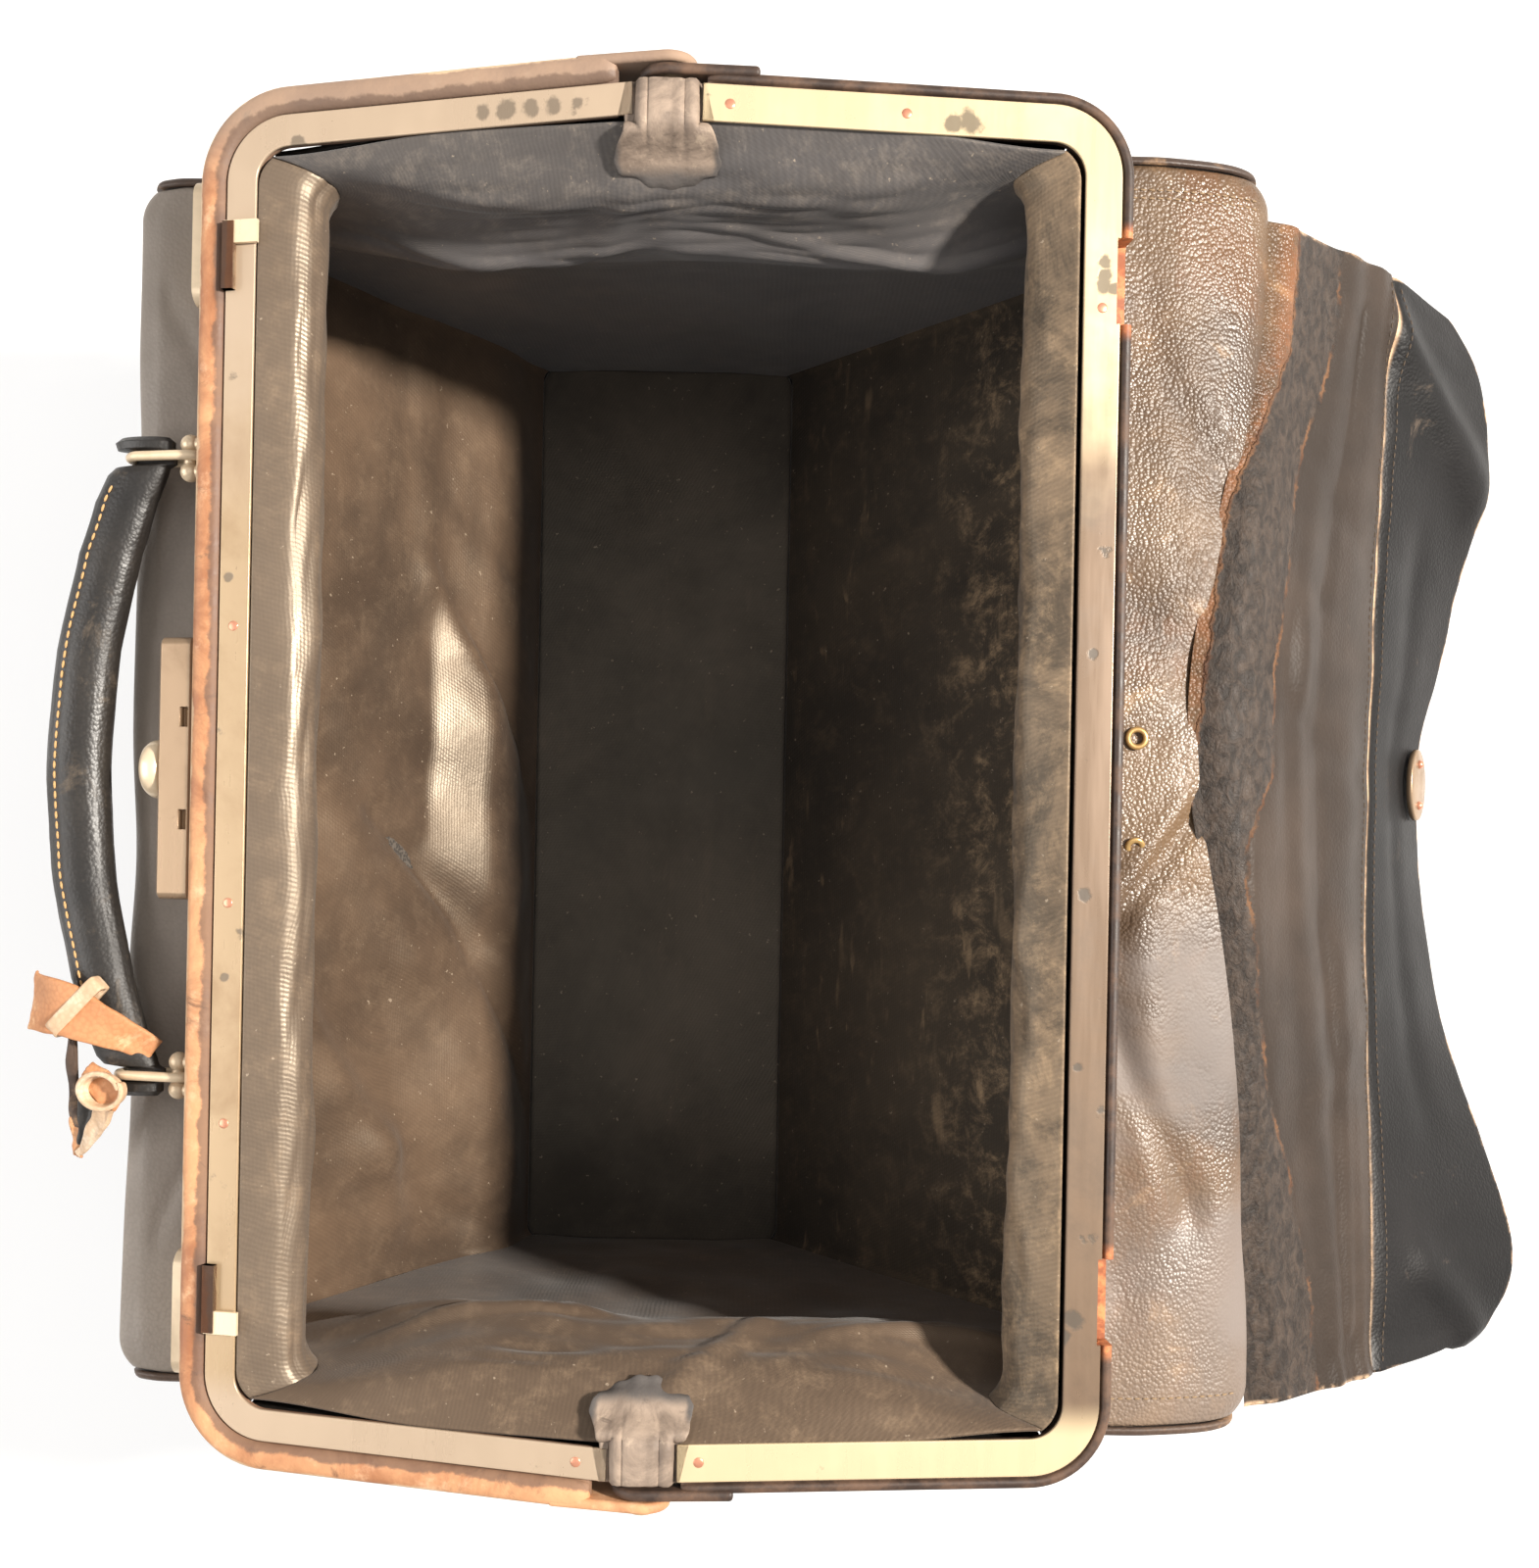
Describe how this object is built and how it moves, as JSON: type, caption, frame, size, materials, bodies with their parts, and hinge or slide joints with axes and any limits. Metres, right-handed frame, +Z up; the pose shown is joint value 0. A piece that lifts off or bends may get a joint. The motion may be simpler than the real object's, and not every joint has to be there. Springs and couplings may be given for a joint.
{
  "type": "travel bag",
  "caption": "Old leather travel bag with a hinged metal mouth frame laid open, a rolled handle, a lock, side catches and a wide outside flap.",
  "frame": {"origin": "middle of the base's underside", "axes": "+X across the bag from the handle side to the flap side, +Y along the bag, +Z up"},
  "size_m": [0.508, 0.4224, 0.2345],
  "materials": {
    "black_leather": "worn black hide, half matt",
    "smooth_leather": "smooth grey-black hide, matt",
    "worn_leather": "pebbled brown-black hide, rubbed shiny",
    "handle_leather": "polished black hide",
    "tan_leather": "torn tan hide, matt",
    "lining_cloth": "brown twill lining cloth, dusty",
    "rusted_frame": "worn leather-brown paint over rusted steel",
    "covered_frame": "leather-covered steel",
    "plated_metal": "worn nickel plate with tarnish"
  },
  "bodies": {
    "bag": {"base": "black_leather", "front_panel": "smooth_leather", "back_panel": "worn_leather", "gusset_left": "black_leather", "gusset_right": "black_leather", "welt_front_left": "black_leather", "welt_front_right": "black_leather", "welt_back_left": "black_leather", "welt_back_right": "black_leather", "lining_front": "lining_cloth", "lining_back": "lining_cloth", "lining_left": "lining_cloth", "lining_right": "lining_cloth", "lining_floor": "lining_cloth", "front_frame": "rusted_frame", "back_frame": "covered_frame", "front_strip": "plated_metal", "back_strip": "plated_metal", "hinge_rivet_left": "rusted_frame", "hinge_rivet_right": "rusted_frame", "hinge_tab_left": "worn_leather", "hinge_tab_right": "worn_leather", "lock_case": "plated_metal", "staple_left": "plated_metal", "staple_right": "plated_metal", "pocket_flap": "worn_leather", "flap_plate": "plated_metal", "pocket_front": "black_leather"},
    "handle": {"ring_left": "plated_metal", "ring_right": "plated_metal", "handle_grip": "handle_leather", "strap_band": "tan_leather", "strap_keeper": "tan_leather", "strap_tail": "tan_leather"},
    "left_catch": {"catch_left": "plated_metal"},
    "right_catch": {"catch_right": "plated_metal"},
    "button": {"lock_button": "plated_metal"}
  },
  "joints": [
    {"name": "handle_lift", "type": "hinge", "parent": "bag", "child": "handle", "pos_m": [-0.1451, 0.0035, 0.19474], "axis": [0, 1, 0], "range_deg": [0, 90]},
    {"name": "left_catch_slide", "type": "slide", "parent": "bag", "child": "left_catch", "axis": [0, 1, 0], "range_m": [-0.014, 0]},
    {"name": "right_catch_slide", "type": "slide", "parent": "bag", "child": "right_catch", "axis": [0, 1, 0], "range_m": [0, 0.014]},
    {"name": "button_slide", "type": "slide", "parent": "bag", "child": "button", "axis": [0, 1, 0], "range_m": [-0.007, 0]}
  ]
}
